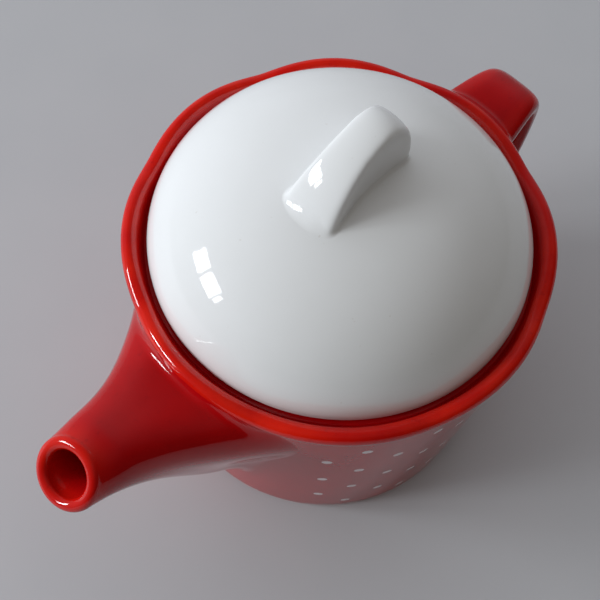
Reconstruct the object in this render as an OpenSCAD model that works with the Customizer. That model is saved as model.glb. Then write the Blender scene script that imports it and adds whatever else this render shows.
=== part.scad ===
// Glazed ceramic teapot with a scalloped rim, a full-height spout, a strap
// handle and a domed lid with an arched knob.
// Origin: centre of the foot, on the pot's axis. +Z is up, +X is the spout.

/* [Pot wall] */
// Radius of the wall at the foot
base_radius = 67; // [62:0.5:72]
// Radius of the wall where the rim lip begins
shoulder_radius = 73.5; // [71:0.5:74]
// Height of the pot at the mean crest of the rim
rim_height = 117.5; // [105:0.5:130]
// Thickness of the fired wall
wall = 4; // [3:0.25:5]
// Thickness of the floor
floor_thickness = 5.5; // [4:0.5:8]
// Radius of the outer corner between wall and foot
foot_round = 4; // [2:0.5:6]
// Width of the unglazed foot ring
foot_ring_width = 6; // [4:0.5:10]
// Depth of the recess inside the foot ring
foot_recess = 1.5; // [0.5:0.25:3]

/* [Rim] */
// How far the lip stands out from the wall
lip_out = 2; // [1:0.25:4]
// Thickness of the rolled crest of the lip
lip_thickness = 5.8; // [5:0.2:6.6]
// Number of lobes round the rim
lobes = 8; // [6:1:12]
// How far a lobe swings outward and inward of the mean lip
lobe_out = 0.55; // [0:0.05:1.5]
// How far a lobe swings above and below the mean crest
lobe_up = 1.2; // [0:0.1:2]

/* [Lid seat] */
// Depth of the seat below the mean crest of the rim
seat_depth = 5.5; // [4.5:0.5:9]
// Width of the ledge that carries the lid
ledge_width = 7.1; // [6:0.1:12]
// Thickness of the ledge
ledge_thickness = 4; // [3:0.5:6]

/* [Strainer] */
// Diameter of each pierced hole behind the spout
hole_diameter = 4.5; // [3:0.25:5]
// Distance between neighbouring holes
hole_pitch = 9; // [7:0.5:11]
// Height of the lowest row of holes
hole_base = 30; // [26:1:36]
// Number of rows of holes
hole_rows = 5; // [3:1:6]

/* [Spout] */
// How far the centre of the mouth stands out from the wall
spout_length = 49.5; // [42:0.5:60]
// Height of the centre of the mouth above the crest of the rim
mouth_rise = 0.5; // [-4:0.5:6]
// Outer diameter of the spout at the mouth
spout_tip_diameter = 24.5; // [21:0.5:28]
// Diameter of the bore at the mouth
spout_bore_diameter = 15.5; // [11:0.5:17]
// Lean of the mouth's face away from vertical
mouth_lean = 45; // [30:1:60]
// Height of the spout's underside where it leaves the wall
spout_root_low = 24; // [18:1:34]
// Depth of the spout's top below the crest of the rim, where it leaves the wall
spout_root_drop = 3.5; // [3:0.5:16]
// Half the width of the spout's body at the wall
spout_root_half = 22; // [18:0.5:25]
// Extra half width of the shoulders that sweep the spout into the rim
spout_shoulder = 28; // [8:0.5:32]

/* [Handle] */
// How far the outside of the strap stands out from the wall
handle_out = 30.5; // [24:0.5:42]
// Depth of the strap's top face below the crest of the rim
handle_drop = 2.5; // [2:0.5:16]
// Height of the handle's lower end at the wall
handle_low = 30; // [22:1:42]
// Width of the strap at its outer bend
strap_width = 23.5; // [18:0.5:30]
// Extra width of the strap where it meets the wall
strap_flare = 12; // [3:0.5:14]
// Thickness of the strap
strap_thickness = 10.5; // [7:0.5:12]

/* [Lid] */
// Gap between the lid's edge and the lip round it
lid_gap = 1.6; // [1:0.1:3]
// Height of the dome above the lid's edge
dome_height = 37; // [30:1:50]
// Thickness of the lid
lid_wall = 4.5; // [3.5:0.25:6]
// Height of the lid's rounded edge below the foot of the dome
lid_edge_height = 3.5; // [2.5:0.25:5]
// Depth of the skirt that locates the lid in the mouth
skirt_depth = 11; // [6:0.5:16]
// Gap between the skirt and the mouth
skirt_gap = 1.5; // [0.8:0.1:3]
// Gap left at the seat by the two glazes
seat_gap = 0.3; // [0.2:0.05:0.5]

/* [Knob] */
// Half the length of the knob where it meets the dome
knob_half_length = 21; // [15:0.5:26]
// Width of the knob along its ridge
knob_width = 17; // [13:0.5:22]
// How far each side of the knob leans out on its way down to the dome
knob_flare = 2; // [0:0.25:3]
// Height of the knob above the top of the dome
knob_height = 21; // [13:0.5:26]
// How far the arch of the knob leans towards the handle
knob_lean = 6; // [0:0.5:7]
// Radius of the knob's soft edges
knob_edge = 3; // [2:0.5:4]

/* [Hidden] */

red_glaze = [0.66, 0.05, 0.04];
white_glaze = [0.93, 0.93, 0.91];
round_steps = 96;       // steps round every revolved form
ring_steps = 10 * lobes; // steps round the scalloped lip

seat_z = rim_height - seat_depth;
lip_radius = shoulder_radius + lip_out;
lip_foot_z = seat_z - 3;
lip_slope = 1.1; // run of the slope from the crest down to the seat
seat_edge_radius = lip_radius - lip_thickness - lip_slope;
mouth_radius = seat_edge_radius - ledge_width;
inner_base_radius = base_radius - wall;
inner_shoulder_radius = shoulder_radius - wall;
ledge_z = seat_z - ledge_thickness;
throat_z = ledge_z - (inner_shoulder_radius - mouth_radius);
foot_outer = base_radius - foot_round;
foot_inner = foot_outer - foot_ring_width;

lid_radius = seat_edge_radius - lid_gap;
lid_edge_z = seat_z + seat_gap + lid_edge_height;
skirt_radius = mouth_radius - skirt_gap;
skirt_wall = lid_wall - 0.5;
dome_top_z = lid_edge_z + dome_height;

// Point at t on a cubic Bezier curve with control points p
function bezier(p, t) =
    pow(1 - t, 3) * p[0] + 3 * pow(1 - t, 2) * t * p[1]
    + 3 * (1 - t) * t * t * p[2] + t * t * t * p[3];

// Derivative of the same curve
function bezier_slope(p, t) =
    3 * pow(1 - t, 2) * (p[1] - p[0]) + 6 * (1 - t) * t * (p[2] - p[1]) + 3 * t * t * (p[3] - p[2]);

function unit(v) = v / norm(v);

// Signed power, for superellipses
function spow(x, e) = sign(x) * pow(abs(x), e);

// Points of an arc in the plane, from angle a to angle b
function arc(centre, radius, a, b, steps) =
    [for (i = [0:steps]) let(g = a + (b - a) * i / steps) centre + radius * [cos(g), sin(g)]];

// Closed skin over rings that all have the same number of points
module skin(rings) {
    count = len(rings[0]);
    last = len(rings) - 1;
    sides = [for (i = [0:last - 1]) for (j = [0:count - 1])
        let(k = (j + 1) % count, a = i * count, b = (i + 1) * count)
        each [[a + j, b + j, a + k], [a + k, b + j, b + k]]];
    start_cap = [[for (j = [0:count - 1]) j]];
    end_cap = [[for (j = [0:count - 1]) last * count + count - 1 - j]];
    polyhedron(points = [for (r = rings) each r], faces = concat(sides, start_cap, end_cap));
}

// Closed band: the last ring joins the first
module band(rings) {
    count = len(rings[0]);
    turns = len(rings);
    faces = [for (i = [0:turns - 1]) for (j = [0:count - 1])
        let(k = (j + 1) % count, a = i * count, b = ((i + 1) % turns) * count)
        each [[a + j, a + k, b + j], [a + k, b + k, b + j]]];
    polyhedron(points = [for (r = rings) each r], faces = faces);
}

// ---------------------------------------------------------------- pot body

// Swing of the lobes at an angle round the rim: 1 on a crest, -1 in a notch.
// Crests are broad and notches are narrow, as between the petals of a flower.
notch_softness = 0.22;
function scallop(angle) =
    let(c = cos(lobes * angle / 2), e = notch_softness)
    2 * (sqrt(c * c + e * e) - e) / (sqrt(1 + e * e) - e) - 1;

// Section of the lip: radius, height and how fully the lobes move each point
slope_lean = 20; // lean of the slope inside the crest away from vertical
crest_radius = lip_thickness / 2;
crest_z = rim_height - crest_radius;
lip_section = concat(
    [[seat_edge_radius + 0.8, seat_z - 1.6, 0],
     [shoulder_radius - 0.7, lip_foot_z - 0.6, 0],
     [shoulder_radius + 0.9, lip_foot_z + 1.6, 0.2],
     [lip_radius - 0.5, lip_foot_z + 4.2, 0.65]],
    [for (p = arc([lip_radius - crest_radius, crest_z], crest_radius, 0, 180 - slope_lean, 8))
        [p.x, p.y, 1]],
    [[seat_edge_radius + 0.4, seat_z + 1.2, 0.3],
     [seat_edge_radius, seat_z + 0.2, 0],
     [seat_edge_radius - 0.3, seat_z - 0.9, 0]]);

module lip() {
    band([for (i = [0:ring_steps - 1])
        let(angle = 360 * i / ring_steps, swing = scallop(angle))
        [for (p = lip_section)
            let(r = p[0] + p[2] * lobe_out * swing)
            [r * cos(angle), r * sin(angle), p[1] + p[2] * lobe_up * swing]]]);
}

// Outer outline of the wall, from the foot to the foot of the lip
wall_outline = concat(
    arc([foot_outer, foot_round], foot_round, -90, 0, 6),
    [[shoulder_radius, lip_foot_z], [shoulder_radius, seat_z]]);

// The pot without its hollow or lid well, which trims what is luted to it
module pot_outside() {
    well_radius = lip_radius - crest_radius - lobe_out;
    well_top = rim_height + lobe_up;
    rotate_extrude($fn = round_steps)
        polygon(concat([[0, 0]], wall_outline, [[well_radius, well_top], [0, well_top]]));
    lip();
}

module strainer_holes() {
    row_pitch = hole_pitch * sin(60); // every hole has the same distance to all its neighbours
    for (row = [0:hole_rows - 1])
        for (column = [-1:1])
            let(shift = row % 2 == 0 ? 0 : hole_pitch / 2)
            if (row % 2 == 0 || column < 1)
                translate([0, column * hole_pitch + shift, hole_base + row * row_pitch])
                    rotate([0, 90, 0])
                        cylinder(h = shoulder_radius + wall, d = hole_diameter, $fn = 32);
}

module pot_body() {
    inner_round = 9;
    color(red_glaze)
        union() {
            difference() {
                rotate_extrude($fn = round_steps)
                    polygon(concat(
                        [[0, foot_recess], [foot_inner - foot_recess, foot_recess], [foot_inner, 0]],
                        wall_outline,
                        [[mouth_radius, seat_z], [mouth_radius, ledge_z],
                         [inner_shoulder_radius, throat_z]],
                        arc([inner_base_radius - inner_round, floor_thickness + inner_round],
                            inner_round, 0, -90, 6),
                        [[0, floor_thickness]]));
                strainer_holes();
            }
            lip();
        }
}

// ------------------------------------------------------------------- spout

// The spout is lofted between a top line and a keel line
tip_across = [sin(mouth_lean), -cos(mouth_lean)] * spout_tip_diameter / 2;
tip_ahead = [cos(mouth_lean), 0, sin(mouth_lean)];
tip_centre = [shoulder_radius + spout_length, rim_height + mouth_rise];
spout_start = base_radius - 8;
spout_root_high = rim_height - spout_root_drop;
spout_top_line = [
    [spout_start, spout_root_high],
    [shoulder_radius + 12, spout_root_high - 2],
    tip_centre - tip_across - [18, 8],
    tip_centre - tip_across];
spout_keel_line = [
    [spout_start, spout_root_low - 8],
    [shoulder_radius + 18, spout_root_low + 14],
    tip_centre + tip_across - [38, 8],
    tip_centre + tip_across];
tip_round = (spout_tip_diameter - spout_bore_diameter) / 4;
spout_sides = 36;
spout_rings = 18;

// Half width of the spout's body along its length
function spout_half(t) =
    spout_tip_diameter / 2 + (spout_root_half - spout_tip_diameter / 2) * pow(1 - t, 1.3);

// Extra half width of the shoulders, which lie high on the section
function shoulder_half(t, lift) =
    spout_shoulder * pow(1 - t, 4) * pow(max(0, lift), 1.5);

// How square the upper and lower halves of a section are: 1 is an ellipse
function upper_square(t) = 1 - 0.45 * pow(1 - t, 0.7);
function lower_square(t) = 1 - 0.25 * pow(1 - t, 0.7);

// One ring of the spout, inset from its outer face by skin_inset
function spout_ring(t, skin_inset, ahead) =
    let(
        top = bezier(spout_top_line, t),
        keel = bezier(spout_keel_line, t),
        middle = (top + keel) / 2,
        rise = (top - keel) / 2,
        reach = norm(rise) - skin_inset,
        across = unit(rise))
    [for (j = [0:spout_sides - 1])
        let(
            angle = 360 * j / spout_sides,
            square = sin(angle) > 0 ? upper_square(t) : lower_square(t),
            lift = spow(sin(angle), square),
            side = spow(cos(angle), square),
            half = spout_half(t) + shoulder_half(t, lift) - skin_inset)
        [middle.x + across.x * reach * lift, half * side, middle.y + across.y * reach * lift]
        + ahead * tip_ahead];

module spout_outside() {
    skin(concat(
        [for (i = [0:spout_rings - 1]) spout_ring(i / spout_rings, 0, 0)],
        [for (b = [0:30:90]) spout_ring(1, tip_round * (1 - cos(b)), tip_round * (sin(b) - 1))]));
}

module spout_bore() {
    bore_inset = (spout_tip_diameter - spout_bore_diameter) / 2;
    skin(concat(
        [for (i = [0:spout_rings - 1]) spout_ring(i / spout_rings, bore_inset, 0)],
        [for (b = [0:30:90])
            spout_ring(1, bore_inset - tip_round * (1 - cos(b)), tip_round * (sin(b) - 1))],
        [spout_ring(1, bore_inset - tip_round, 1)]));
}

module spout() {
    color(red_glaze)
        difference() {
            spout_outside();
            spout_bore();
            pot_outside();
        }
}

// ------------------------------------------------------------------ handle

handle_top = rim_height - handle_drop;
strap_axis_reach = shoulder_radius + handle_out - strap_thickness / 2;
strap_top_axis = handle_top - strap_thickness / 2;
bend_z = handle_top - 18;
handle_upper_line = [
    [-(base_radius - 2), strap_top_axis - 1],
    [-(strap_axis_reach - 4), strap_top_axis + 3],
    [-strap_axis_reach, strap_top_axis + 2],
    [-strap_axis_reach, bend_z]];
handle_lower_line = [
    [-strap_axis_reach, bend_z],
    [-strap_axis_reach, bend_z - 26],
    [-(strap_axis_reach - 12), handle_low + 16],
    [-(base_radius - 6), handle_low - 4]];
handle_sides = 28;
handle_rings = 14;

// Half width of the strap at s, from 0 at the upper end to 1 at the lower one
function strap_half(s) =
    strap_width / 2 + strap_flare / 2 * pow(abs(1 - 2 * s), 2.5);

function strap_ring(centre, along, half) =
    let(
        direction = unit(along),
        outward = [-direction.y, direction.x],
        squareness = 0.6)
    [for (j = [0:handle_sides - 1])
        let(
            angle = 360 * j / handle_sides,
            depth = spow(sin(angle), squareness) * strap_thickness / 2,
            side = spow(cos(angle), squareness) * half)
        [centre.x + outward.x * depth, side, centre.y + outward.y * depth]];

module handle() {
    color(red_glaze)
        difference() {
            skin(concat(
                [for (i = [0:handle_rings - 1])
                    let(t = i / handle_rings)
                    strap_ring(bezier(handle_upper_line, t), bezier_slope(handle_upper_line, t),
                               strap_half(t / 2))],
                [for (i = [0:handle_rings])
                    let(t = i / handle_rings)
                    strap_ring(bezier(handle_lower_line, t), bezier_slope(handle_lower_line, t),
                               strap_half(0.5 + t / 2))]));
            pot_outside();
        }
}

// --------------------------------------------------------------------- lid

// Height of the dome's face above the lid's edge, for a dome of the given size
dome_radial_power = 2.33;
dome_height_power = 1.69;
dome_steps = 26;
function dome_point(radius, height, a) =
    [radius * pow(sin(a), 2 / dome_radial_power), height * pow(cos(a), 2 / dome_height_power)];

function dome_outline(radius, height, z) =
    [for (i = [0:dome_steps])
        let(p = dome_point(radius, height, 90 * i / dome_steps)) [p.x, z + p.y]];

module dome_outside() {
    rotate_extrude($fn = round_steps)
        polygon(concat([[0, lid_edge_z - 1]], dome_outline(lid_radius, dome_height, lid_edge_z),
                       [[lid_radius, lid_edge_z - 1]]));
}

module lid() {
    edge_round = 1.8;
    under_z = lid_edge_z - lid_edge_height;
    inner_radius = skirt_radius - skirt_wall;
    inside = dome_outline(lid_radius - lid_wall, dome_height - lid_wall, lid_edge_z);
    color(white_glaze)
        rotate_extrude($fn = round_steps)
            polygon(concat(
                dome_outline(lid_radius, dome_height, lid_edge_z),
                arc([lid_radius - edge_round, under_z + edge_round], edge_round, 0, -90, 5),
                [[skirt_radius, under_z], [skirt_radius, under_z - skirt_depth + 1],
                 [skirt_radius - 1, under_z - skirt_depth], [inner_radius, under_z - skirt_depth]],
                [for (i = [dome_steps:-1:0]) if (inside[i].x < inner_radius) inside[i]]));
}

// -------------------------------------------------------------------- knob

knob_points = 40;
knob_layers = 5;

// Side outline of the knob, a leaning half ellipse closed below the dome
function knob_ring(y, inset) =
    [for (j = [0:knob_points - 1])
        let(
            a = 360 * j / knob_points,
            rise = sin(a) > 0 ? knob_height + 2 - inset : 6,
            x = (knob_half_length - inset) * cos(a) - knob_lean * max(0, sin(a)),
            flare = knob_flare * (1 - rise * sin(a) / (knob_height + 2)))
        [x, y + sign(y) * flare, dome_top_z - 2 + rise * sin(a)]];

module lid_knob() {
    flat = knob_width / 2 - knob_edge;
    color(white_glaze)
        difference() {
            skin(concat(
                [for (b = [0:knob_layers])
                    let(g = 90 * b / knob_layers)
                    knob_ring(flat + knob_edge * cos(g), knob_edge * (1 - sin(g)))],
                [for (b = [knob_layers:-1:0])
                    let(g = 90 * b / knob_layers)
                    knob_ring(-flat - knob_edge * cos(g), knob_edge * (1 - sin(g)))]));
            dome_outside();
        }
}

pot_body();
spout();
handle();
lid();
lid_knob();
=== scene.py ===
"""Looks of a glazed ceramic teapot: red body, spout and strap handle, white domed lid and arched knob.

Every shape is worked out in millimetres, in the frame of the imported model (+Z up, +X towards the spout,
origin at the centre of the foot), and written to its mesh in metres.
"""

import math

import bpy
import numpy as np
from mathutils import Matrix, Vector


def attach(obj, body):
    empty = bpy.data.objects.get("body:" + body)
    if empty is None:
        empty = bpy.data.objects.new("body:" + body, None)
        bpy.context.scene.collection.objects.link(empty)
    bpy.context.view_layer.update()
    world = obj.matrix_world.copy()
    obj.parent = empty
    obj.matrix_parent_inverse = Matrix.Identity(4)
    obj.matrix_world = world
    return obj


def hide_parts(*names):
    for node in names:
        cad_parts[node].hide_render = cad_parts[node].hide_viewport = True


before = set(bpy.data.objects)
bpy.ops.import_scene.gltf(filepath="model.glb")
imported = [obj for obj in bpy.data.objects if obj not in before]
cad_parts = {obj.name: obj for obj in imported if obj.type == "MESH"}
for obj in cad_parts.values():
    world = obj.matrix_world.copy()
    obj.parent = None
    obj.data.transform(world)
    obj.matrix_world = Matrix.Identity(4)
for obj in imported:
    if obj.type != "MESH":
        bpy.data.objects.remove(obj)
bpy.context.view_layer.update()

MM = 0.001

# ------------------------------------------------------------------ dimensions, in millimetres

BASE_RADIUS = 67.0
SHOULDER_RADIUS = 73.5
RIM_HEIGHT = 117.5
WALL = 4.0
FLOOR_THICKNESS = 5.5
FOOT_ROUND = 4.0
FOOT_RING_WIDTH = 6.0
FOOT_RECESS = 1.5

LIP_RADIUS = 75.5
LIP_ROLL = 2.9
LIP_SLOPE_LEAN = math.radians(20)
LOBES = 8
LOBE_OUT = 0.55
LOBE_UP = 1.2
NOTCH_SOFTNESS = 0.22

SEAT_Z = 112.0
SEAT_EDGE_RADIUS = 68.6
MOUTH_RADIUS = 61.5
LEDGE_THICKNESS = 4.0
LIP_FOOT_Z = SEAT_Z - 3

HOLE_RADIUS = 2.25
HOLE_PITCH = 9.0
HOLE_BASE = 30.0
HOLE_ROWS = 5

SPOUT_LENGTH = 49.4
MOUTH_RISE = 0.5
TIP_RADIUS = 12.25
BORE_RADIUS = 7.75
MOUTH_LEAN = math.radians(45)
SPOUT_ROOT_LOW = 24.0
SPOUT_ROOT_HIGH = 114.0
SPOUT_ROOT_HALF = 22.0
SPOUT_SHOULDER = 23.5
SPOUT_SHOULDER_FADE = 2.2
SPOUT_TOP_SQUARE = 0.45
SPOUT_KEEL_SQUARE = 0.25
SPOUT_SQUARE_FADE = 0.7
SPOUT_FILLET = 3.5
SPOUT_FILLET_MORE = 3.5

HANDLE_REACH = 104.0
HANDLE_TOP = 115.0
HANDLE_LOW = 30.0
HANDLE_FILLET = 3.5
BEND_DROP = 18
STRAP_WIDTH = 23.5
STRAP_FLARE = 12.0
STRAP_FLARE_FADE = 2.5
STRAP_THICKNESS = 10.5
STRAP_CROWN = 0.5
STRAP_SIDE_POWER = 0.58
STRAP_FACE_POWER = 0.7

LID_RADIUS = 67.0
LID_EDGE_Z = 115.8
LID_EDGE_HEIGHT = 3.5
DOME_HEIGHT = 37.0
LID_WALL = 4.5
SKIRT_DEPTH = 11.0
SKIRT_RADIUS = MOUTH_RADIUS - 1.5
DOME_RADIAL_POWER = 2.33
DOME_HEIGHT_POWER = 1.69

KNOB_FRONT = 20.5
KNOB_BACK = 21.0
KNOB_RISE = 22.2
KNOB_HALF_WIDTH = 7.4
KNOB_FRONT_FLARE = 3.8
KNOB_BACK_FLARE = 1.2
KNOB_FRONT_FLARE_START = -0.25
KNOB_BACK_FLARE_START = 0.5
KNOB_STUB = 25
KNOB_PLAN_POWER = 0.6
KNOB_EDGE_POWER = 9.0
KNOB_CROWN = 0.055
KNOB_FILLET = 1.3
KNOB_FRONT_FILLET_MORE = 2.2

DOT_RADIUS = 1.9
DOT_PITCH = 28.0
DOT_TOP_Z = 96.0
DOT_FIRST_ANGLE = 42.0
DOT_COLUMN_ANGLE = 10.1
DOT_COLUMNS = 12
DOT_SOFT_EDGE = 0.15

# How thin the glaze has run on an edge, from 0 to 1.
THIN_AT_FOOT = 0.6
THIN_AT_MOUTH = 0.6
THIN_ON_STRAP = 0.5

# --------------------------------------------------------------------------- curves and meshes


def bezier(points, t):
    """Points at t, an array, on the cubic Bezier curve with these four control points."""
    t = np.asarray(t, float)[..., None]
    a, b, c, d = (np.asarray(p, float) for p in points)
    return (1 - t) ** 3 * a + 3 * (1 - t) ** 2 * t * b + 3 * (1 - t) * t * t * c + t**3 * d


def signed_power(x, power):
    return np.sign(x) * np.abs(x) ** power


def smoothstep(low, high, x):
    t = np.clip((x - low) / (high - low), 0, 1)
    return t * t * (3 - 2 * t)


def rounded(corners, spacing):
    """A fine outline through corners of (point, rounding radius): straight runs and circular arcs.
    A point is (radius, height, how far the lobes move it)."""
    points = [np.array(p, float) for p, _ in corners]
    radii = [r for _, r in corners]
    out = [points[0]]
    for i in range(1, len(points) - 1):
        before, here, after = points[i - 1], points[i], points[i + 1]
        u = (before - here)[:2]
        v = (after - here)[:2]
        u, v = u / np.linalg.norm(u), v / np.linalg.norm(v)
        half = 0.5 * math.acos(np.clip(u @ v, -1, 1))
        cut = radii[i] / math.tan(half)
        share_u = cut / np.linalg.norm((before - here)[:2])
        share_v = cut / np.linalg.norm((after - here)[:2])
        first = here + (before - here) * share_u
        last = here + (after - here) * share_v
        out.append(first)
        if cut > 1e-6:
            radius = cut * math.tan(half)
            turn = math.pi - 2 * half
            centre = here[:2] + (u + v) / np.linalg.norm(u + v) * radius / math.sin(half)
            a = first[:2] - centre
            side = 1 if a[0] * (last[:2] - centre)[1] - a[1] * (last[:2] - centre)[0] > 0 else -1
            steps = max(2, int(math.ceil(turn / math.radians(7))))
            for k in range(1, steps):
                g = side * turn * k / steps
                spun = [a[0] * math.cos(g) - a[1] * math.sin(g), a[0] * math.sin(g) + a[1] * math.cos(g)]
                swing = first[2] + (last[2] - first[2]) * k / steps
                out.append(np.array([centre[0] + spun[0], centre[1] + spun[1], swing]))
            out.append(last)
    out.append(points[-1])
    fine = [out[0]]
    for p in out[1:]:
        count = max(1, int(np.linalg.norm((p - fine[-1])[:2]) / spacing))
        start = fine[-1]
        fine += [start + (p - start) * k / count for k in range(1, count + 1)]
    return np.array(fine)


def grid_faces(rows, columns, around, first=0):
    """Quads of a grid of points, row by row. around closes each row on itself."""
    faces = []
    for i in range(rows - 1):
        for j in range(columns if around else columns - 1):
            k = (j + 1) % columns
            a, b = first + i * columns, first + (i + 1) * columns
            faces.append((a + j, a + k, b + k, b + j))
    return faces


def make_piece(name, points, faces, thinning_and_crest_light, body, node):
    """A smooth mesh from points in millimetres, which stands for a CAD node and rides on its body. A value
    from 0 to 1 for each point says how far its glaze turns to the lighter, more orange edge colour: where
    the glaze has run thinner on an edge, and on the rim's crest also painted highlight of its lit top."""
    mesh = bpy.data.meshes.new(name)
    mesh.from_pydata([tuple(p) for p in np.asarray(points) * MM], [], faces)
    attribute = mesh.attributes.new("thinning_and_crest_light", "FLOAT", "POINT")
    attribute.data.foreach_set("value", np.asarray(thinning_and_crest_light, np.float32).ravel())
    piece = bpy.data.objects.new(name, mesh)
    bpy.context.scene.collection.objects.link(piece)
    clean_mesh(piece)
    mesh.polygons.foreach_set("use_smooth", [True] * len(mesh.polygons))
    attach(piece, body)
    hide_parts(node)
    return piece


def select_only(piece):
    bpy.ops.object.select_all(action="DESELECT")
    piece.select_set(True)
    bpy.context.view_layer.objects.active = piece


def clean_mesh(piece):
    """Merges the points that coincide and turns every face outwards."""
    select_only(piece)
    bpy.ops.object.mode_set(mode="EDIT")
    bpy.ops.mesh.select_all(action="SELECT")
    bpy.ops.mesh.remove_doubles(threshold=0.00001)
    bpy.ops.mesh.normals_make_consistent(inside=False)
    bpy.ops.object.mode_set(mode="OBJECT")


# ------------------------------------------------------------------------------------ pot body


def scallop(angle):
    """Swing of the rim's lobes at an angle: 1 on a broad crest, -1 in a narrow notch."""
    c = np.cos(LOBES * angle / 2)
    e = NOTCH_SOFTNESS
    return 2 * (np.sqrt(c * c + e * e) - e) / (math.sqrt(1 + e * e) - e) - 1


def body_outline():
    """Outline of the pot from the centre underneath, up the wall, over the lip and down to the floor."""
    foot_outer = BASE_RADIUS - FOOT_ROUND
    foot_inner = foot_outer - FOOT_RING_WIDTH
    ledge_z = SEAT_Z - LEDGE_THICKNESS
    inner_shoulder = SHOULDER_RADIUS - WALL
    inner_base = BASE_RADIUS - WALL
    slope_run = LIP_ROLL * (1 - math.sin(LIP_SLOPE_LEAN)) / math.cos(LIP_SLOPE_LEAN)
    crest_inner = LIP_RADIUS - LIP_ROLL - slope_run
    # Each corner is (radius, height, how far the lobes move it) and the radius that rounds it.
    corners = [
        ((0, FOOT_RECESS, 0), 0),
        ((foot_inner - FOOT_RECESS, FOOT_RECESS, 0), 1.0),
        ((foot_inner, 0, 0), 0.6),
        ((BASE_RADIUS, 0, 0), FOOT_ROUND),
        ((SHOULDER_RADIUS, LIP_FOOT_Z - 0.5, 0), 5.0),
        ((LIP_RADIUS, LIP_FOOT_Z + 4.5, 0.7), 3.0),
        ((LIP_RADIUS, RIM_HEIGHT, 1), LIP_ROLL),
        ((crest_inner, RIM_HEIGHT, 1), LIP_ROLL),
        ((SEAT_EDGE_RADIUS + 0.4, SEAT_Z + 1.2, 0.3), 1.5),
        ((SEAT_EDGE_RADIUS - 0.3, SEAT_Z, 0), 0.7),
        ((MOUTH_RADIUS, SEAT_Z, 0), 0.8),
        ((MOUTH_RADIUS, ledge_z, 0), 1.2),
        ((inner_shoulder, ledge_z - (inner_shoulder - MOUTH_RADIUS), 0), 4.0),
        ((inner_base, FLOOR_THICKNESS, 0), 9.0),
        ((0, FLOOR_THICKNESS, 0), 0),
    ]
    return rounded(corners, spacing=3.0)


OUTLINE = body_outline()
OUTSIDE = OUTLINE[: int(np.argmax(OUTLINE[:, 1])) + 1]
FACE = OUTSIDE[OUTSIDE[:, 0] > BASE_RADIUS - FOOT_ROUND]
FIELD_STEP = 0.25
FIELD_RADII = np.arange(50, 100, FIELD_STEP)
FIELD_HEIGHTS = np.arange(-6, 135, FIELD_STEP)


def outside_field():
    """Distance from the outline of the pot filled to its crest, less than 0 inside, on a fine grid of
    radius and height, smoothed a little so that it turns softly in the hollow under the lip."""
    line = np.concatenate([OUTSIDE[:, :2], [(0, OUTSIDE[-1, 1])]])
    r, z = np.meshgrid(FIELD_RADII, FIELD_HEIGHTS, indexing="ij")
    nearest = np.full(r.shape, np.inf)
    inside = np.zeros(r.shape, bool)
    for (r0, z0), (r1, z1) in zip(line[:-1], line[1:]):
        run, climb = r1 - r0, z1 - z0
        share = np.clip(((r - r0) * run + (z - z0) * climb) / (run * run + climb * climb), 0, 1)
        nearest = np.minimum(nearest, np.hypot(r - r0 - share * run, z - z0 - share * climb))
        if z0 != z1:
            inside ^= ((z0 > z) != (z1 > z)) & (r < r0 + (z - z0) / climb * run)
    field = np.where(inside, -nearest, nearest)
    for _ in range(3):
        padded = np.pad(field, 2, mode="edge")
        rows = sum(padded[k : k + field.shape[0]] for k in range(5)) / 5
        field = sum(rows[:, k : k + field.shape[1]] for k in range(5)) / 5
    return field


FIELD = outside_field()


def wall_radius(z):
    """Outer radius of the plain wall at height z."""
    return np.interp(z, FACE[:, 1], FACE[:, 0])


def grid_place(value, places):
    """Where a value lies along evenly spaced places of the field, counted from the first."""
    return np.clip((value - places[0]) / FIELD_STEP, 0, len(places) - 1.001)


def height_over_wall(p):
    """Distance of points from the pot's outer face, and the face's outward normal there."""

    def level(q):
        swing = scallop(np.arctan2(q[..., 1], q[..., 0]))
        radius, height = np.hypot(q[..., 0], q[..., 1]), q[..., 2]
        weight = np.interp(height, FACE[:, 1], FACE[:, 2])
        i = grid_place(radius - LOBE_OUT * swing * weight, FIELD_RADII)
        j = grid_place(height - LOBE_UP * swing * weight, FIELD_HEIGHTS)
        m, n = i.astype(int), j.astype(int)
        u, v = i - m, j - n
        low = FIELD[m, n] * (1 - u) + FIELD[m + 1, n] * u
        high = FIELD[m, n + 1] * (1 - u) + FIELD[m + 1, n + 1] * u
        return low * (1 - v) + high * v

    return with_gradient(level, p, 0.3)


def with_gradient(level, p, step=0.05):
    """A level function as a distance, with the unit direction in which it grows."""
    gradient = np.stack(
        [(level(p + step * e) - level(p - step * e)) / (2 * step) for e in np.eye(3)], axis=-1
    )
    size = np.maximum(np.linalg.norm(gradient, axis=-1, keepdims=True), 0.5)
    return level(p) / size[..., 0], gradient / size


def make_body():
    turns = 48 * LOBES
    angle = np.arange(turns) * 2 * math.pi / turns
    swing = scallop(angle)[None, :]
    radius = OUTLINE[:, 0:1] + OUTLINE[:, 2:3] * LOBE_OUT * swing
    height = OUTLINE[:, 1:2] + OUTLINE[:, 2:3] * LOBE_UP * swing
    points = np.stack([radius * np.cos(angle), radius * np.sin(angle), height], axis=-1).reshape(-1, 3)
    # The rim's crest turns to the lighter, more orange edge colour: partly thinner glaze, partly painted
    # highlight of the lit top. The foot's edge below is thinner glaze only.
    crest_thinning_and_light = smoothstep(RIM_HEIGHT - 4, RIM_HEIGHT - 0.8, OUTLINE[:, 1:2])
    outer = OUTLINE[:, 0:1] > BASE_RADIUS - FOOT_ROUND
    foot = THIN_AT_FOOT * smoothstep(FOOT_ROUND, 0.5, OUTLINE[:, 1:2]) * outer
    thinning_and_crest_light = np.broadcast_to(crest_thinning_and_light + foot, radius.shape)
    faces = grid_faces(len(OUTLINE), turns, True)
    piece = make_piece("glazed_body", points, faces, thinning_and_crest_light, "pot", "pot_body")
    pierce(piece)
    return piece


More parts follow.
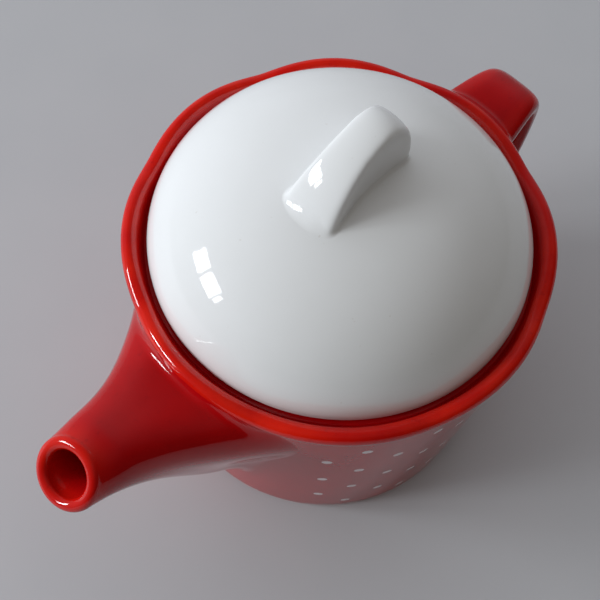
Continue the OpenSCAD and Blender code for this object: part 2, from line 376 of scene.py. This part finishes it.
def pierce(piece):
    """The strainer: holes through the wall behind the spout, in staggered rows."""
    sides = 32
    turn = np.arange(sides) * 2 * math.pi / sides
    points, faces = [], []
    for row in range(HOLE_ROWS):
        offsets = (-1, 0, 1) if row % 2 == 0 else (-0.5, 0.5)
        for offset in offsets:
            y = offset * HOLE_PITCH
            z = HOLE_BASE + row * HOLE_PITCH * math.sin(math.radians(60))
            outer = math.sqrt(wall_radius(z) ** 2 - y * y)
            inner = outer - WALL
            # Places along the hole, and how much wider than the hole the cutter is there.
            stations = [
                (inner - 3, 2.2), (inner - 0.1, 0.9), (inner + 0.5, 0.25), (inner + 1.2, 0),
                (outer - 1.2, 0), (outer - 0.5, 0.25), (outer + 0.1, 0.9), (outer + 3, 2.2),
            ]
            first = len(points)
            for x, more in stations:
                r = HOLE_RADIUS + more
                points += [(x, y + r * math.cos(g), z + r * math.sin(g)) for g in turn]
            faces += grid_faces(len(stations), sides, True, first)
            faces.append(tuple(range(first, first + sides)))
            last = first + (len(stations) - 1) * sides
            faces.append(tuple(range(last + sides - 1, last - 1, -1)))
    mesh = bpy.data.meshes.new("hole_cutter")
    mesh.from_pydata([tuple(np.array(p) * MM) for p in points], [], faces)
    cutter = bpy.data.objects.new("hole_cutter", mesh)
    bpy.context.scene.collection.objects.link(cutter)
    clean_mesh(cutter)
    cut = piece.modifiers.new("pierce", "BOOLEAN")
    cut.operation = "DIFFERENCE"
    cut.solver = "EXACT"
    cut.object = cutter
    select_only(piece)
    bpy.ops.object.modifier_apply(modifier=cut.name)
    bpy.data.objects.remove(cutter)


# ----------------------------------------------------------- what is luted on with a soft fillet

FILLET_ROWS = 14
FILLET_CLEARANCE = 0.01
ROOT_DEPTH = 0.08


def fillet_rows(line_points, over, radius, share, end, count):
    """Lines that run out of a surface, given a soft fillet where they leave it.

    line_points gives one line for each column, from inside the surface outwards. over gives the distance
    from the surface and its normal. radius is the fillet's radius on each line and share the places along
    a line where that distance is measured. Beyond the fillet come count more rows, up to the place end.
    Returns the places of the points of each row."""
    distance, _ = over(line_points(share))
    distance = np.minimum.accumulate(distance[::-1], axis=0)[::-1]
    rows = []
    for turn in np.linspace(0, math.pi / 2, FILLET_ROWS):
        wanted = radius * (1 - math.cos(turn)) + FILLET_CLEARANCE
        rows.append(np.array([np.interp(w, d, share) for w, d in zip(wanted, distance.T)]))
    out = rows[-1]
    rows += [out + (end - out) * k / count for k in range(1, count + 1)]
    return np.array(rows)


def surface_normals(p, inside):
    """Unit normals of a grid of points whose rows close on themselves, pointing away from inside."""
    down = np.gradient(p, axis=0)
    across = np.roll(p, -1, axis=1) - np.roll(p, 1, axis=1)
    normal = np.cross(down, across)
    normal /= np.maximum(np.linalg.norm(normal, axis=-1, keepdims=True), 1e-9)
    sign = np.sign(np.sum(normal * (p - inside), axis=-1, keepdims=True))
    return normal * sign


def flare(p, inside, over, radius):
    """Moves the points near a surface sideways, so that they run tangent into it, and adds a last row
    just under the surface."""
    normal = surface_normals(p, inside)
    distance, up = over(p)
    near = np.clip(radius - distance, 0, radius)
    out = radius - np.sqrt(np.maximum(radius**2 - near**2, 0))
    side = normal - np.sum(normal * up, axis=-1, keepdims=True) * up
    moved = p + side * out[..., None]
    for _ in range(3):
        now, up = over(moved)
        moved = moved - up * np.where(out > 0, now - distance, 0)[..., None]
    under = moved[0] + side[0] / np.linalg.norm(side[0], axis=-1, keepdims=True)
    now, up = over(under)
    under = under - up * (now + ROOT_DEPTH)[..., None]
    return np.concatenate([under[None], moved])


# --------------------------------------------------------------------------------------- spout

TIP_ACROSS = np.array([math.sin(MOUTH_LEAN), -math.cos(MOUTH_LEAN)]) * TIP_RADIUS
TIP_AHEAD = np.array([math.cos(MOUTH_LEAN), 0, math.sin(MOUTH_LEAN)])
TIP_CENTRE = np.array([SHOULDER_RADIUS + SPOUT_LENGTH, RIM_HEIGHT + MOUTH_RISE])
TIP_ROUND = (TIP_RADIUS - BORE_RADIUS) / 2
SPOUT_TOP = [
    (BASE_RADIUS - 8, SPOUT_ROOT_HIGH),
    (SHOULDER_RADIUS + 12, SPOUT_ROOT_HIGH - 2),
    TIP_CENTRE - TIP_ACROSS - (18, 8),
    TIP_CENTRE - TIP_ACROSS,
]
SPOUT_KEEL = [
    (BASE_RADIUS - 8, SPOUT_ROOT_LOW - 8),
    (SHOULDER_RADIUS + 18, SPOUT_ROOT_LOW + 14),
    TIP_CENTRE + TIP_ACROSS - (38, 8),
    TIP_CENTRE + TIP_ACROSS,
]


def spout_point(t, angle, inset=0.0, ahead=0.0):
    """Points of the spout's skin at t along it and at an angle round it, both arrays of one shape. They
    lie inset millimetres inside the skin and are moved ahead millimetres the way the mouth faces."""
    top, keel = bezier(SPOUT_TOP, t), bezier(SPOUT_KEEL, t)
    middle, rise = (top + keel) / 2, (top - keel) / 2
    length = np.linalg.norm(rise, axis=-1)
    across = rise / length[..., None]
    near_root = np.maximum(1 - t, 0)
    fade = near_root**SPOUT_SQUARE_FADE
    square = np.where(np.sin(angle) > 0, 1 - SPOUT_TOP_SQUARE * fade, 1 - SPOUT_KEEL_SQUARE * fade)
    lift = signed_power(np.sin(angle), square)
    side = signed_power(np.cos(angle), square)
    half = TIP_RADIUS + (SPOUT_ROOT_HALF - TIP_RADIUS) * near_root
    shoulder = SPOUT_SHOULDER * near_root**SPOUT_SHOULDER_FADE * smoothstep(-0.5, 0.95, lift)
    reach = (length - inset) * lift
    p = np.stack(
        [middle[..., 0] + across[..., 0] * reach, (half + shoulder - inset) * side,
         middle[..., 1] + across[..., 1] * reach],
        axis=-1,
    )
    return p + ahead * TIP_AHEAD


def tip_ring(angle, inset, turn):
    """A ring of the mouth's rounded lip, turn from 0 on its side to 90 degrees on its crest."""
    return spout_point(np.ones(len(angle)), angle, inset, TIP_ROUND * (math.sin(turn) - 1))


def make_spout():
    sides = 192
    angle = (np.arange(sides) + 0.5) * 2 * math.pi / sides
    high = np.maximum(np.sin(angle), 0)
    radius = SPOUT_FILLET + SPOUT_FILLET_MORE * smoothstep(0, 0.9, 1 - high)

    def lines(t):
        return spout_point(*np.broadcast_arrays(t[:, None], angle[None]))

    share = np.linspace(0, 0.7, 281)
    t = fillet_rows(lines, height_over_wall, radius, share, end=1.0, count=80)
    around = np.broadcast_to(angle, t.shape)
    back = -TIP_ROUND * smoothstep(0.8, 1, t)[..., None]
    p = spout_point(t, around, 0, back)
    skin = flare(p, np.mean(p, axis=1, keepdims=True), height_over_wall, radius)
    bore = TIP_RADIUS - BORE_RADIUS
    turns = np.radians(np.arange(10, 91, 10))
    outer = [tip_ring(angle, TIP_ROUND * (1 - math.cos(g)), g) for g in turns]
    inner = [tip_ring(angle, bore - TIP_ROUND * (1 - math.cos(g)), g) for g in turns[-2::-1]]
    # The bore runs back from the mouth and stops just inside the wall's outer face.
    hollow = spout_point(t[::-2], around[::-2], bore, back[::-2])
    reached = (height_over_wall(hollow)[0] > -1.0).all(axis=1)
    hollow = hollow[: np.argmin(reached)]
    grid = np.concatenate([skin, outer, inner, hollow])
    faces = grid_faces(len(grid), sides, True)
    end = (len(grid) - 1) * sides
    faces += [(j, end + j, end + (j + 1) % sides, (j + 1) % sides) for j in range(sides)]
    beyond = (grid[..., 0] - TIP_CENTRE[0]) * TIP_AHEAD[0] + (grid[..., 2] - TIP_CENTRE[1]) * TIP_AHEAD[2]
    thinning_and_crest_light = THIN_AT_MOUTH * smoothstep(-4 * TIP_ROUND, 0, beyond)
    return make_piece("glazed_spout", grid.reshape(-1, 3), faces, thinning_and_crest_light, "pot", "spout")


# -------------------------------------------------------------------------------------- handle

STRAP_AXIS_REACH = HANDLE_REACH - STRAP_THICKNESS / 2
STRAP_TOP_AXIS = HANDLE_TOP - STRAP_THICKNESS / 2
BEND_Z = HANDLE_TOP - BEND_DROP
HANDLE_UPPER = [
    (-(BASE_RADIUS - 2), STRAP_TOP_AXIS - 1),
    (-(STRAP_AXIS_REACH - 4), STRAP_TOP_AXIS + 3),
    (-STRAP_AXIS_REACH, STRAP_TOP_AXIS + 2),
    (-STRAP_AXIS_REACH, BEND_Z),
]
HANDLE_LOWER = [
    (-STRAP_AXIS_REACH, BEND_Z),
    (-STRAP_AXIS_REACH, BEND_Z - 26),
    (-(STRAP_AXIS_REACH - 12), HANDLE_LOW + 16),
    (-(BASE_RADIUS - 6), HANDLE_LOW - 4),
]


def strap_axis(s):
    """Points along the middle of the strap, s from 0 at its upper root to 1 at its lower one."""
    upper = bezier(HANDLE_UPPER, np.clip(2 * s, 0, 1))
    lower = bezier(HANDLE_LOWER, np.clip(2 * s - 1, 0, 1))
    return np.where((s < 0.5)[..., None], upper, lower)


def strap_point(s, angle):
    """Points of the strap's skin at s along it and at an angle round it."""
    step = 0.002
    axis = strap_axis(s)
    along = strap_axis(np.clip(s + step, 0, 1)) - strap_axis(np.clip(s - step, 0, 1))
    along /= np.linalg.norm(along, axis=-1, keepdims=True)
    outward = np.stack([-along[..., 1], along[..., 0]], axis=-1)
    half = STRAP_WIDTH / 2 + STRAP_FLARE / 2 * np.abs(1 - 2 * s) ** STRAP_FLARE_FADE
    side = signed_power(np.cos(angle), STRAP_SIDE_POWER)
    crown = np.where(np.sin(angle) > 0, 1 - STRAP_CROWN * side**2, 1)
    depth = signed_power(np.sin(angle), STRAP_FACE_POWER) * crown * STRAP_THICKNESS / 2
    return np.stack(
        [axis[..., 0] + outward[..., 0] * depth, side * half, axis[..., 1] + outward[..., 1] * depth],
        axis=-1,
    )


def make_handle():
    sides = 128
    angle = (np.arange(sides) + 0.5) * 2 * math.pi / sides
    radius = np.full(sides, HANDLE_FILLET)

    def half(from_end):
        """The strap from one root to its middle. from_end gives strap_axis's place for one counted from
        that root."""

        def lines(t):
            return strap_point(*np.broadcast_arrays(from_end(t)[:, None], angle[None]))

        share = np.linspace(0, 0.5, 201)
        t = fillet_rows(lines, height_over_wall, radius, share, end=0.5, count=50)
        p = strap_point(from_end(t), np.broadcast_to(angle, t.shape))
        return flare(p, np.mean(p, axis=1, keepdims=True), height_over_wall, radius)

    upper = half(lambda t: t)
    lower = half(lambda t: 1 - t)
    skin = np.concatenate([upper, lower[-2::-1]])
    faces = grid_faces(len(skin), sides, True)
    faces.append(tuple(range(sides)))
    last = (len(skin) - 1) * sides
    faces.append(tuple(range(last + sides - 1, last - 1, -1)))
    corner = np.abs(np.sin(angle)) ** STRAP_FACE_POWER * np.abs(np.cos(angle)) ** STRAP_SIDE_POWER
    edge = THIN_ON_STRAP * smoothstep(0.7, 1, corner / np.max(corner))
    thinning_and_crest_light = np.broadcast_to(edge, skin.shape[:2])
    return make_piece("strap_handle", skin.reshape(-1, 3), faces, thinning_and_crest_light, "pot", "handle")


# ------------------------------------------------------------------------------- lid and knob


def dome_height(radius, across, high):
    """Height of a dome over its foot, at a radius."""
    share = np.clip(radius / across, 0, 1)
    return high * (1 - share**DOME_RADIAL_POWER) ** (1 / DOME_HEIGHT_POWER)


def height_over_dome(p):
    def level(q):
        return q[..., 2] - LID_EDGE_Z - dome_height(np.hypot(q[..., 0], q[..., 1]), LID_RADIUS, DOME_HEIGHT)

    return with_gradient(level, p)


def dome_curve(across, high, steps):
    g = np.linspace(0, math.pi / 2, steps)
    return np.stack(
        [across * np.sin(g) ** (2 / DOME_RADIAL_POWER),
         LID_EDGE_Z + high * np.maximum(np.cos(g), 0) ** (2 / DOME_HEIGHT_POWER)],
        axis=-1,
    )


def make_lid():
    under_z = LID_EDGE_Z - LID_EDGE_HEIGHT
    skirt_low = under_z - SKIRT_DEPTH
    skirt_inner = SKIRT_RADIUS - LID_WALL + 0.5
    inside = dome_curve(LID_RADIUS - LID_WALL, DOME_HEIGHT - LID_WALL, 60)[::-1]
    inside = inside[inside[:, 0] < skirt_inner - 0.3]
    corners = [
        ((LID_RADIUS, LID_EDGE_Z, 0), 0),
        ((LID_RADIUS, under_z, 0), 1.8),
        ((SKIRT_RADIUS, under_z, 0), 0.8),
        ((SKIRT_RADIUS, skirt_low, 0), 1.4),
        ((skirt_inner, skirt_low, 0), 1.4),
        ((skirt_inner, inside[0][1] - 1, 0), 2),
        ((inside[0][0], inside[0][1], 0), 0),
    ]
    outline = np.concatenate(
        [dome_curve(LID_RADIUS, DOME_HEIGHT, 90), rounded(corners, 3.0)[1:, :2], inside[1:]]
    )
    turns = 256
    angle = np.arange(turns) * 2 * math.pi / turns
    points = np.stack(
        [outline[:, 0:1] * np.cos(angle), outline[:, 0:1] * np.sin(angle),
         np.broadcast_to(outline[:, 1:2], (len(outline), turns))],
        axis=-1,
    )
    faces = grid_faces(len(outline), turns, True)
    thinning_and_crest_light = np.zeros(len(outline) * turns)
    return make_piece("dome_lid", points.reshape(-1, 3), faces, thinning_and_crest_light, "lid", "lid")


KNOB_FOOT_Z = LID_EDGE_Z + DOME_HEIGHT - 2
KNOB_CREST = (-7, KNOB_RISE - 0.2)
KNOB_FRONT_CURVE = [(KNOB_FRONT + 1, -1), (KNOB_FRONT - 4, 8), (5.5, KNOB_RISE - 2.5), KNOB_CREST]
KNOB_BACK_CURVE = [KNOB_CREST, (-12.5, KNOB_RISE + 0.8), (-KNOB_BACK - 2, KNOB_RISE - 1), (-KNOB_BACK, -1)]


def knob_side_view():
    """Outline of the knob seen from its side, as a distance from the middle of its foot at each angle: a
    long slope up from the front and a rounded back, over straight stubs that reach down into the dome."""
    t = np.linspace(0, 1, 60)
    down = np.linspace(-KNOB_STUB, -1, 30)[:, None]
    front = np.concatenate([np.full_like(down, KNOB_FRONT + 1), down], axis=1)
    back = np.concatenate([np.full_like(down, -KNOB_BACK), down[::-1]], axis=1)
    slope, heel = bezier(KNOB_FRONT_CURVE, t), bezier(KNOB_BACK_CURVE, t)
    line = np.concatenate([front[:-1], slope, heel[1:], back[1:]])
    angle = np.arctan2(line[:, 1], line[:, 0])
    return np.where(angle < -math.pi / 2, angle + 2 * math.pi, angle), np.hypot(line[:, 0], line[:, 1])


def make_knob():
    """A tab with an arched ridge that leans back, rounded along its edges and blended into the dome, most
    of all at its front."""
    turns = 256
    g = (np.arange(turns) + 0.5) * 2 * math.pi / turns
    flat = np.stack([np.cos(g), np.sin(g)], axis=-1)
    flat = signed_power(flat, KNOB_PLAN_POWER)
    flat /= np.linalg.norm(flat, axis=-1, keepdims=True)
    angles, reaches = knob_side_view()

    def tab(elevation):
        """Points of the tab along each direction from the middle of its foot."""
        x, y = np.cos(elevation) * flat[:, 0], np.cos(elevation) * flat[:, 1]
        z = np.sin(elevation)
        angle = np.arctan2(z, x)
        reach = np.interp(np.where(angle < -math.pi / 2, angle + 2 * math.pi, angle), angles, reaches)
        arch = np.hypot(x, z) * KNOB_RISE / reach
        size = (arch**KNOB_EDGE_POWER + np.abs(y) ** KNOB_EDGE_POWER) ** (-1 / KNOB_EDGE_POWER)
        x, y, z = x * size, y * size, z * size
        crown = KNOB_RISE * (1 - KNOB_CROWN * y * y)
        ahead = np.maximum(x * KNOB_RISE / KNOB_FRONT - KNOB_FRONT_FLARE_START, 0)
        ahead = ahead / (1 - KNOB_FRONT_FLARE_START)
        behind = np.maximum(-x * KNOB_RISE / KNOB_BACK - KNOB_BACK_FLARE_START, 0)
        behind = behind / (1 - KNOB_BACK_FLARE_START)
        half_width = KNOB_HALF_WIDTH + KNOB_FRONT_FLARE * ahead**2 + KNOB_BACK_FLARE * behind**2
        return np.stack([x * crown, y * half_width, KNOB_FOOT_Z + z * crown], axis=-1)

    def lines(elevation):
        return tab(np.broadcast_to(elevation[:, None], (len(elevation), turns)))

    radius = KNOB_FILLET + KNOB_FRONT_FILLET_MORE * smoothstep(0.7, 1, flat[:, 0])
    share = np.linspace(-0.7, 1.2, 381)
    top = math.pi / 2 - 0.01
    elevation = fillet_rows(lines, height_over_dome, radius, share, end=top, count=110)
    skin = flare(tab(elevation), np.array([0, 0, KNOB_FOOT_Z]), height_over_dome, radius)
    faces = grid_faces(len(skin), turns, True)
    faces.append(tuple(range(turns)))
    last, apex = (len(skin) - 1) * turns, len(skin) * turns
    faces += [(last + j, last + (j + 1) % turns, apex) for j in range(turns)]
    points = np.concatenate([skin.reshape(-1, 3), np.mean(skin[-1], axis=0)[None]])
    thinning_and_crest_light = np.zeros(len(points))
    return make_piece("arch_knob", points, faces, thinning_and_crest_light, "lid", "lid_knob")


# ----------------------------------------------------------------------------------- materials


def new_material(name):
    material = bpy.data.materials.new(name)
    material.use_nodes = True
    shader = material.node_tree.nodes["Principled BSDF"]
    return material, material.node_tree, shader


def linear(r, g, b):
    """A colour given as it is seen, 0 to 255, as the shader wants it."""
    parts = [c / 255 for c in (r, g, b)]
    return [c / 12.92 if c <= 0.04045 else ((c + 0.055) / 1.055) ** 2.4 for c in parts] + [1.0]


RED, RED_CLOUD = linear(166, 2, 9), linear(182, 5, 11)
# Lighter, more orange red of thinner glaze on edges; on the rim's crest it also stands in for painted
# highlight of the lit top.
THIN_AND_LIT_RED, THIN_AND_LIT_RED_CLOUD = linear(202, 12, 7), linear(218, 32, 11)
RED_SPECK = linear(128, 0, 10)
DOT_WHITE = linear(232, 222, 224)
FOOT_CLAY, FOOT_CLAY_GRAIN = linear(190, 172, 150), linear(214, 200, 180)
WHITE, WHITE_CLOUD = linear(226, 227, 227), linear(233, 234, 235)
WHITE_SPECK = linear(196, 188, 178)
SKIRT_CLAY, SKIRT_CLAY_GRAIN = linear(196, 182, 162), linear(220, 208, 190)
TABLE, TABLE_CLOUD = linear(184, 185, 189), linear(192, 192, 195)

WAVE_SIZE = 16
WAVE_HEIGHT = 0.03
PEEL_SIZE = 1.2
PEEL_HEIGHT = 0.0008
SMUDGE_SIZE = 30
GLAZE_ROUGHNESS = 0.035
SMUDGE_ROUGHNESS = 0.05
CLAY_ROUGHNESS = 0.8
TABLE_ROUGHNESS = 0.55


def add(tree, kind, inputs, **settings):
    """A new node. An input is given by name or number, as a value or as the socket that feeds it."""
    node = tree.nodes.new(kind)
    for name, value in settings.items():
        setattr(node, name, value)
    for key, value in inputs.items():
        if isinstance(value, bpy.types.NodeSocket):
            tree.links.new(value, node.inputs[key])
        else:
            node.inputs[key].default_value = value
    return node


def calc(tree, operation, *values):
    return add(tree, "ShaderNodeMath", dict(enumerate(values)), operation=operation).outputs[0]


def ramp(tree, value, low, high):
    """0 where value is at low or beyond, 1 where it is at high or beyond, smooth between."""
    sockets = {"Value": value, "From Min": low, "From Max": high}
    return add(tree, "ShaderNodeMapRange", sockets, interpolation_type="SMOOTHSTEP").outputs[0]


def mix(tree, share, first, second):
    return add(tree, "ShaderNodeMix", {0: share, 6: first, 7: second}, data_type="RGBA").outputs[2]


def span(tree, first, second):
    """The length of a step whose two legs meet at a right angle."""
    squares = calc(tree, "MULTIPLY", first, first), calc(tree, "MULTIPLY", second, second)
    return calc(tree, "SQRT", calc(tree, "ADD", *squares))


def noise(tree, place, size, detail):
    """Noise from about 0 to 1 whose lumps are about so many millimetres across."""
    sockets = {"Vector": place, "Scale": 1 / (size * MM), "Detail": detail}
    return add(tree, "ShaderNodeTexNoise", sockets).outputs[0]


def glaze_surface(tree, shader, place, bare):
    """The slight waves and orange peel of the surface, and the gloss of glaze, which bare clay lacks."""
    waves = calc(tree, "MULTIPLY", noise(tree, place, WAVE_SIZE, 1), WAVE_HEIGHT * MM)
    peel = calc(tree, "MULTIPLY", noise(tree, place, PEEL_SIZE, 0), PEEL_HEIGHT * MM)
    height = calc(tree, "ADD", waves, peel)
    bump = add(tree, "ShaderNodeBump", {"Height": height, "Distance": 1.0})
    tree.links.new(bump.outputs[0], shader.inputs["Normal"])
    smudges = noise(tree, place, SMUDGE_SIZE, 3)
    gloss = calc(tree, "MULTIPLY_ADD", smudges, SMUDGE_ROUGHNESS, GLAZE_ROUGHNESS)
    sockets = {0: bare, 2: gloss, 3: CLAY_ROUGHNESS}
    rough = add(tree, "ShaderNodeMix", sockets, data_type="FLOAT").outputs[0]
    tree.links.new(rough, shader.inputs["Roughness"])


def dots(tree, x, y, z):
    """1 inside the white dots of the wall, 0 outside them. Columns are counted from the spout towards the
    handle, the same on both sides, and rows from the top down."""
    radius = span(tree, x, y)
    angle = calc(tree, "MULTIPLY", calc(tree, "ABSOLUTE", calc(tree, "ARCTAN2", y, x)), math.degrees(1))
    place = calc(tree, "DIVIDE", calc(tree, "SUBTRACT", angle, DOT_FIRST_ANGLE), DOT_COLUMN_ANGLE)
    column = calc(tree, "ROUND", place)
    arc = calc(tree, "MULTIPLY", calc(tree, "SUBTRACT", place, column), math.radians(DOT_COLUMN_ANGLE))
    across = calc(tree, "MULTIPLY", arc, radius)
    # 1 for the first column and every other one after it, which sit half a pitch lower, 0 for the rest.
    low = calc(tree, "PINGPONG", calc(tree, "ADD", column, 1.0), 1.0)
    depth = calc(tree, "DIVIDE", calc(tree, "SUBTRACT", DOT_TOP_Z, z), DOT_PITCH)
    level = calc(tree, "SUBTRACT", depth, calc(tree, "MULTIPLY", low, 0.5))
    row = calc(tree, "ROUND", level)
    along = calc(tree, "MULTIPLY", calc(tree, "SUBTRACT", level, row), DOT_PITCH)
    off_centre = span(tree, across, along)
    disc = ramp(tree, off_centre, DOT_RADIUS + DOT_SOFT_EDGE, DOT_RADIUS - DOT_SOFT_EDGE)
    taper = (SHOULDER_RADIUS - BASE_RADIUS) / LIP_FOOT_Z
    middle = calc(tree, "MULTIPLY_ADD", z, taper, BASE_RADIUS - WALL / 2)
    limits = [
        calc(tree, "GREATER_THAN", radius, middle),
        calc(tree, "GREATER_THAN", column, -0.5),
        calc(tree, "LESS_THAN", column, DOT_COLUMNS - 0.5),
        calc(tree, "GREATER_THAN", row, -0.5),
        calc(tree, "GREATER_THAN", z, FOOT_ROUND),
    ]
    for limit in limits:
        disc = calc(tree, "MULTIPLY", disc, limit)
    return disc


def red_glaze():
    material, tree, shader = new_material("red_glaze")
    place = add(tree, "ShaderNodeTexCoord", {}).outputs["Object"]
    scaled = add(tree, "ShaderNodeVectorMath", {0: place, "Scale": 1 / MM}, operation="SCALE").outputs[0]
    x, y, z = add(tree, "ShaderNodeSeparateXYZ", {0: scaled}).outputs
    thinning_and_crest_light = add(tree, "ShaderNodeAttribute", {}, attribute_name="thinning_and_crest_light").outputs["Fac"]
    cloud = ramp(tree, noise(tree, place, 22, 4), 0.25, 0.75)
    speck = ramp(tree, noise(tree, place, 2.5, 2), 0.6, 0.8)
    colour = mix(tree, cloud, RED, RED_CLOUD)
    # Edges where the glaze runs thinner turn lighter and more orange; on the rim's crest this lighter
    # colour is also painted highlight.
    edge = mix(tree, cloud, THIN_AND_LIT_RED, THIN_AND_LIT_RED_CLOUD)
    uneven_thinning_and_light = calc(tree, "MULTIPLY", thinning_and_crest_light, calc(tree, "MULTIPLY_ADD", cloud, 0.4, 0.6))
    colour = mix(tree, uneven_thinning_and_light, colour, edge)
    colour = mix(tree, calc(tree, "MULTIPLY", speck, 0.25), colour, RED_SPECK)
    colour = mix(tree, dots(tree, x, y, z), colour, DOT_WHITE)
    bare = ramp(tree, z, 0.8, 0.3)
    grain = mix(tree, noise(tree, place, 0.8, 3), FOOT_CLAY, FOOT_CLAY_GRAIN)
    colour = mix(tree, bare, colour, grain)
    tree.links.new(colour, shader.inputs["Base Color"])
    glaze_surface(tree, shader, place, bare)
    return material


def white_glaze():
    material, tree, shader = new_material("white_glaze")
    place = add(tree, "ShaderNodeTexCoord", {}).outputs["Object"]
    z = add(tree, "ShaderNodeSeparateXYZ", {0: place}).outputs[2]
    cloud = noise(tree, place, 26, 4)
    colour = mix(tree, cloud, WHITE, WHITE_CLOUD)
    speck = ramp(tree, noise(tree, place, 1.6, 1), 0.76, 0.84)
    colour = mix(tree, calc(tree, "MULTIPLY", speck, 0.3), colour, WHITE_SPECK)
    skirt_foot = (LID_EDGE_Z - LID_EDGE_HEIGHT - SKIRT_DEPTH) * MM
    bare = ramp(tree, z, skirt_foot + 1.2 * MM, skirt_foot + 0.8 * MM)
    grain = mix(tree, noise(tree, place, 0.8, 3), SKIRT_CLAY, SKIRT_CLAY_GRAIN)
    colour = mix(tree, bare, colour, grain)
    tree.links.new(colour, shader.inputs["Base Color"])
    glaze_surface(tree, shader, place, bare)
    return material


# ------------------------------------------------------------------------- floor, light, camera

WINDOW_AZIMUTH = math.radians(-38)
WINDOW_ELEVATION = math.radians(24)
WINDOW_DISTANCE = 2.2
# Each pane is (how far to the side, width, height), in metres.
PANES = [(-0.30, 0.35, 0.40), (0.15, 0.38, 0.40), (0.43, 0.07, 0.24)]
WINDOW_POWER = 28.5
WINDOW_COLOUR = (0.92, 0.97, 1.0)
WINDOW_AIM = Vector((0, 0, 0.1))

SKY_AZIMUTH = math.radians(-95)
BRIGHT_WALL = (1.20, 1.26, 1.35, 1)
DIM_WALL = (0.11, 0.095, 0.075, 1)
OVERHEAD = (0.365, 0.35, 0.335, 1)
MIRRORED_ROOM = 0.24
BEYOND_FLOOR = linear(178, 179, 182)


def make_floor():
    half = 40.0
    mesh = bpy.data.meshes.new("floor")
    corners = [(-half, -half, 0), (half, -half, 0), (half, half, 0), (-half, half, 0)]
    mesh.from_pydata(corners, [], [(0, 1, 2, 3)])
    floor = bpy.data.objects.new("floor", mesh)
    bpy.context.scene.collection.objects.link(floor)
    material, tree, shader = new_material("pale_table")
    place = add(tree, "ShaderNodeTexCoord", {}).outputs["Object"]
    colour = mix(tree, noise(tree, place, 60, 4), TABLE, TABLE_CLOUD)
    tree.links.new(colour, shader.inputs["Base Color"])
    shader.inputs["Roughness"].default_value = TABLE_ROUGHNESS
    mesh.materials.append(material)


def make_window():
    """A window low on the left of the picture, as panes of soft light side by side."""
    level = math.cos(WINDOW_ELEVATION)
    x, y = level * math.cos(WINDOW_AZIMUTH), level * math.sin(WINDOW_AZIMUTH)
    towards = Vector((x, y, math.sin(WINDOW_ELEVATION)))
    turn = (-towards).to_track_quat("-Z", "Y")
    area = sum(width * height for _, width, height in PANES)
    for k, (offset, width, height) in enumerate(PANES):
        lamp = bpy.data.lights.new("pane_%d" % k, "AREA")
        lamp.shape = "RECTANGLE"
        lamp.size, lamp.size_y = width, height
        lamp.energy = WINDOW_POWER * width * height / area
        lamp.color = WINDOW_COLOUR
        pane = bpy.data.objects.new("pane_%d" % k, lamp)
        bpy.context.scene.collection.objects.link(pane)
        pane.location = WINDOW_AIM + towards * WINDOW_DISTANCE + turn @ Vector((offset, 0, 0))
        pane.rotation_euler = turn.to_euler()


def make_room():
    """Soft light from the walls round the table: cool and bright on one side, warm and dim on the other,
    and dim overhead. The gloss mirrors it at less strength, and the camera sees an even pale colour."""
    world = bpy.data.worlds.new("room")
    world.use_nodes = True
    tree = world.node_tree
    direction = add(tree, "ShaderNodeTexCoord", {}).outputs["Generated"]
    height = add(tree, "ShaderNodeSeparateXYZ", {0: direction}).outputs[2]
    bright_side = (math.cos(SKY_AZIMUTH), math.sin(SKY_AZIMUTH), 0)
    sockets = {0: direction, 1: bright_side}
    side = add(tree, "ShaderNodeVectorMath", sockets, operation="DOT_PRODUCT").outputs[1]
    walls = mix(tree, ramp(tree, side, -0.55, 0.75), DIM_WALL, BRIGHT_WALL)
    room = mix(tree, ramp(tree, height, 0.5, 0.95), walls, OVERHEAD)
    lit = tree.nodes["Background"]
    tree.links.new(room, lit.inputs["Color"])
    rays = add(tree, "ShaderNodeLightPath", {}).outputs
    strength = calc(tree, "MULTIPLY_ADD", rays["Is Glossy Ray"], MIRRORED_ROOM - 1, 1.0)
    tree.links.new(strength, lit.inputs["Strength"])
    plain = add(tree, "ShaderNodeBackground", {"Color": BEYOND_FLOOR})
    sockets = {0: rays["Is Camera Ray"], 1: lit.outputs[0], 2: plain.outputs[0]}
    both = add(tree, "ShaderNodeMixShader", sockets)
    tree.links.new(both.outputs[0], tree.nodes["World Output"].inputs["Surface"])
    bpy.context.scene.world = world


def make_camera():
    """The camera where the photograph was taken from, with a lens of 60 mm on a 36 mm square frame. right,
    up and ahead are its own directions, ahead the way it looks."""
    place = Vector((139.174, 100.453, 419.408)) * MM
    right = Vector((-0.70291, 0.71011, 0.0407))
    up = Vector((-0.62995, -0.64809, 0.42795))
    ahead = Vector((-0.33027, -0.27517, -0.90289))
    data = bpy.data.cameras.new("camera")
    data.lens = 60
    data.sensor_fit = "HORIZONTAL"
    data.sensor_width = 36
    data.clip_start = 0.01
    camera = bpy.data.objects.new("camera", data)
    turn = Matrix((right, up, -ahead)).transposed().to_4x4()
    camera.matrix_world = Matrix.Translation(place) @ turn
    bpy.context.scene.collection.objects.link(camera)
    bpy.context.scene.camera = camera


red, white = red_glaze(), white_glaze()
for piece in (make_body(), make_spout(), make_handle()):
    piece.data.materials.clear()
    piece.data.materials.append(red)
for piece in (make_lid(), make_knob()):
    piece.data.materials.clear()
    piece.data.materials.append(white)
make_floor()
make_window()
make_room()
make_camera()
bpy.context.scene.view_settings.view_transform = "Standard"
